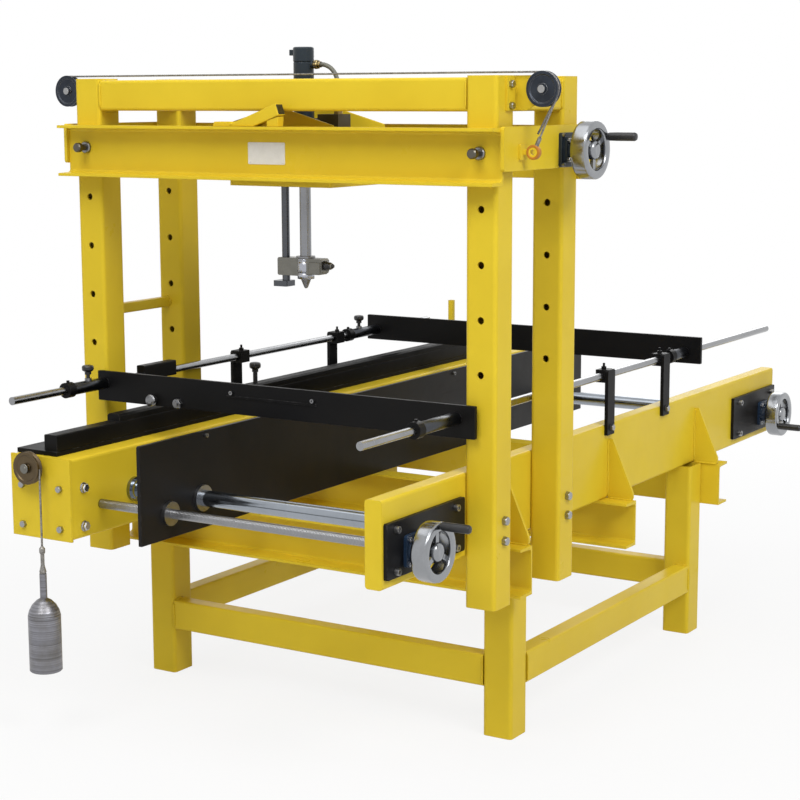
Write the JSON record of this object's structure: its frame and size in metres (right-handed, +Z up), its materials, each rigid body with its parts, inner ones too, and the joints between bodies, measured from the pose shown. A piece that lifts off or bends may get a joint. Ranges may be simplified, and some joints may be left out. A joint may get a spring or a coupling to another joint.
{
  "type": "flexural testing machine",
  "caption": "Bending test frame: pinned crossbeam on four posts with a ram on a cross slide, over a long bed with a fixed rail and a screw-moved support plate.",
  "frame": {"origin": "floor level, under the middle of the bounding box", "axes": "+Z up, +Y along the bed away from the hanging weight (longest), +X across the machine towards the handwheels"},
  "size_m": [1.9184, 2.978, 2.094],
  "materials": {
    "frame_yellow": "semi-gloss",
    "satin_black": "satin",
    "bright_steel": "satin",
    "chrome": "polished",
    "bearing_blue": "gloss",
    "rope_fibre": "matte",
    "grip_plastic": "matte",
    "hose_rubber": "matte",
    "cast_dark": "satin"
  },
  "bodies": {
    "frame": {"posts": "frame_yellow", "tie_tubes": "frame_yellow", "legs": "frame_yellow", "stretchers": "frame_yellow", "bed_channels": "frame_yellow", "gussets": "frame_yellow", "beam_right": "frame_yellow", "beam_left": "frame_yellow", "fixed_rail": "satin_black", "frame_bolts": "bright_steel", "guide_shafts": "chrome", "drive_plates": "satin_black", "drive_bearings": "bearing_blue", "long_rods": "chrome", "rod_arms": "satin_black", "sheave_brackets": "frame_yellow", "lift_rope": "rope_fibre", "stop_post": "frame_yellow"},
    "crossbeam": {"crossbeam_channels": "frame_yellow", "crossbeam_ends": "frame_yellow", "crossbeam_strut": "frame_yellow", "cross_shaft": "chrome", "cross_bearing": "satin_black", "rope_drop": "rope_fibre", "rope_eye": "frame_yellow", "beam_fittings": "bright_steel"},
    "carriage": {"carriage_base": "frame_yellow", "carriage_cheeks": "satin_black", "carriage_bushes": "bright_steel", "ram_barrel": "satin_black", "valve_block": "satin_black", "air_hose": "hose_rubber"},
    "ram": {"piston_rod": "chrome", "guide_rod": "bright_steel", "ram_head": "bright_steel", "load_cell": "bright_steel"},
    "cross_screw": {"cross_drive": "chrome"},
    "cross_grip": {"cross_grip": "grip_plastic"},
    "pin_front_left": {"pin_front_left": "bright_steel"},
    "pin_front_right": {"pin_front_right": "bright_steel"},
    "pin_rear_left": {"pin_rear_left": "bright_steel"},
    "pin_rear_right": {"pin_rear_right": "bright_steel"},
    "support_plate": {"support_plate": "satin_black", "plate_bushes": "bright_steel"},
    "near_screw": {"near_drive": "chrome"},
    "near_grip": {"near_grip": "grip_plastic"},
    "far_screw": {"far_drive": "chrome"},
    "far_grip": {"far_grip": "grip_plastic"},
    "front_bar": {"front_bar": "satin_black", "front_fittings": "bright_steel"},
    "rear_bar": {"rear_bar": "satin_black", "rear_sleeves": "bright_steel"},
    "front_knob": {"front_knob": "grip_plastic"},
    "rear_knob": {"rear_knob": "grip_plastic"},
    "stop_knob": {"stop_knob": "grip_plastic"},
    "sheave_left": {"sheave_left": "cast_dark"},
    "sheave_right": {"sheave_right": "cast_dark"},
    "weight": {"weight": "bright_steel", "weight_rope": "rope_fibre"},
    "drum": {"drum": "cast_dark"}
  },
  "joints": [
    {"name": "crossbeam_slide", "type": "slide", "parent": "frame", "child": "crossbeam", "axis": [0, 0, 1], "range_m": [-0.471, 0]},
    {"name": "carriage_slide", "type": "slide", "parent": "crossbeam", "child": "carriage", "axis": [1, 0, 0], "range_m": [-0.4, 0.45]},
    {"name": "ram_slide", "type": "slide", "parent": "carriage", "child": "ram", "axis": [0, 0, -1], "range_m": [-0.2, 0.1]},
    {"name": "pin_front_left_slide", "type": "slide", "parent": "crossbeam", "child": "pin_front_left", "axis": [0, 1, 0], "range_m": [0, 0.019]},
    {"name": "pin_front_right_slide", "type": "slide", "parent": "crossbeam", "child": "pin_front_right", "axis": [0, 1, 0], "range_m": [0, 0.019]},
    {"name": "pin_rear_left_slide", "type": "slide", "parent": "crossbeam", "child": "pin_rear_left", "axis": [0, -1, 0], "range_m": [0, 0.019]},
    {"name": "pin_rear_right_slide", "type": "slide", "parent": "crossbeam", "child": "pin_rear_right", "axis": [0, -1, 0], "range_m": [0, 0.019]},
    {"name": "cross_screw_turn", "type": "hinge", "parent": "crossbeam", "child": "cross_screw", "pos_m": [0.75075, -0.601, 1.787], "axis": [1, 0, 0], "range_deg": [-60000, 60000]},
    {"name": "cross_grip_spin", "type": "hinge", "parent": "cross_screw", "child": "cross_grip", "pos_m": [0.91275, -0.53605, 1.8245], "axis": [1, 0, 0], "continuous": true},
    {"name": "plate_slide", "type": "slide", "parent": "frame", "child": "support_plate", "axis": [1, 0, 0], "range_m": [-0.19, 0.7]},
    {"name": "near_screw_turn", "type": "hinge", "parent": "frame", "child": "near_screw", "pos_m": [0.63075, -1.269, 0.712], "axis": [1, 0, 0], "range_deg": [-70000, 70000]},
    {"name": "far_screw_turn", "type": "hinge", "parent": "frame", "child": "far_screw", "pos_m": [0.63075, 1.351, 0.712], "axis": [1, 0, 0], "range_deg": [-70000, 70000]},
    {"name": "near_grip_spin", "type": "hinge", "parent": "near_screw", "child": "near_grip", "pos_m": [0.78075, -1.269, 0.787], "axis": [1, 0, 0], "continuous": true},
    {"name": "far_grip_spin", "type": "hinge", "parent": "far_screw", "child": "far_grip", "pos_m": [0.78075, 1.28605, 0.6745], "axis": [1, 0, 0], "continuous": true},
    {"name": "front_bar_slide", "type": "slide", "parent": "frame", "child": "front_bar", "axis": [0, 1, 0], "range_m": [-0.18, 0.01]},
    {"name": "rear_bar_slide", "type": "slide", "parent": "frame", "child": "rear_bar", "axis": [0, 1, 0], "range_m": [-0.03, 0.35]},
    {"name": "front_knob_turn", "type": "hinge", "parent": "front_bar", "child": "front_knob", "pos_m": [-0.69525, -1.066, 1.08], "axis": [0, 0, 1], "range_deg": [-180, 180]},
    {"name": "rear_knob_turn", "type": "hinge", "parent": "rear_bar", "child": "rear_knob", "pos_m": [-0.69525, 0.512, 1.08], "axis": [0, 0, 1], "range_deg": [-180, 180]},
    {"name": "stop_knob_turn", "type": "hinge", "parent": "frame", "child": "stop_knob", "pos_m": [-0.57025, -0.34, 1], "axis": [0, 0, 1], "range_deg": [-180, 180]},
    {"name": "sheave_left_turn", "type": "hinge", "parent": "frame", "child": "sheave_left", "pos_m": [-0.90925, -0.874, 1.962], "axis": [0, 1, 0], "range_deg": [-700, 700]},
    {"name": "sheave_right_turn", "type": "hinge", "parent": "frame", "child": "sheave_right", "pos_m": [0.83075, -0.874, 1.962], "axis": [0, 1, 0], "range_deg": [-700, 700]},
    {"name": "weight_slide", "type": "slide", "parent": "frame", "child": "weight", "axis": [0, 0, 1], "range_m": [-0.19, 0.1]},
    {"name": "drum_turn", "type": "hinge", "parent": "frame", "child": "drum", "pos_m": [-0.61625, -1.439, 0.838], "axis": [0, 1, 0], "range_deg": [-300, 300]}
  ],
  "couplings": [
    {"joint": "cross_screw_turn", "follows": "carriage_slide", "rad_per_m": 1256.6},
    {"joint": "near_screw_turn", "follows": "plate_slide", "rad_per_m": 1256.6},
    {"joint": "far_screw_turn", "follows": "plate_slide", "rad_per_m": 1256.6},
    {"joint": "sheave_left_turn", "follows": "crossbeam_slide", "rad_per_m": -21.277},
    {"joint": "sheave_right_turn", "follows": "crossbeam_slide", "rad_per_m": -21.277},
    {"joint": "drum_turn", "follows": "weight_slide", "rad_per_m": -21.277}
  ]
}
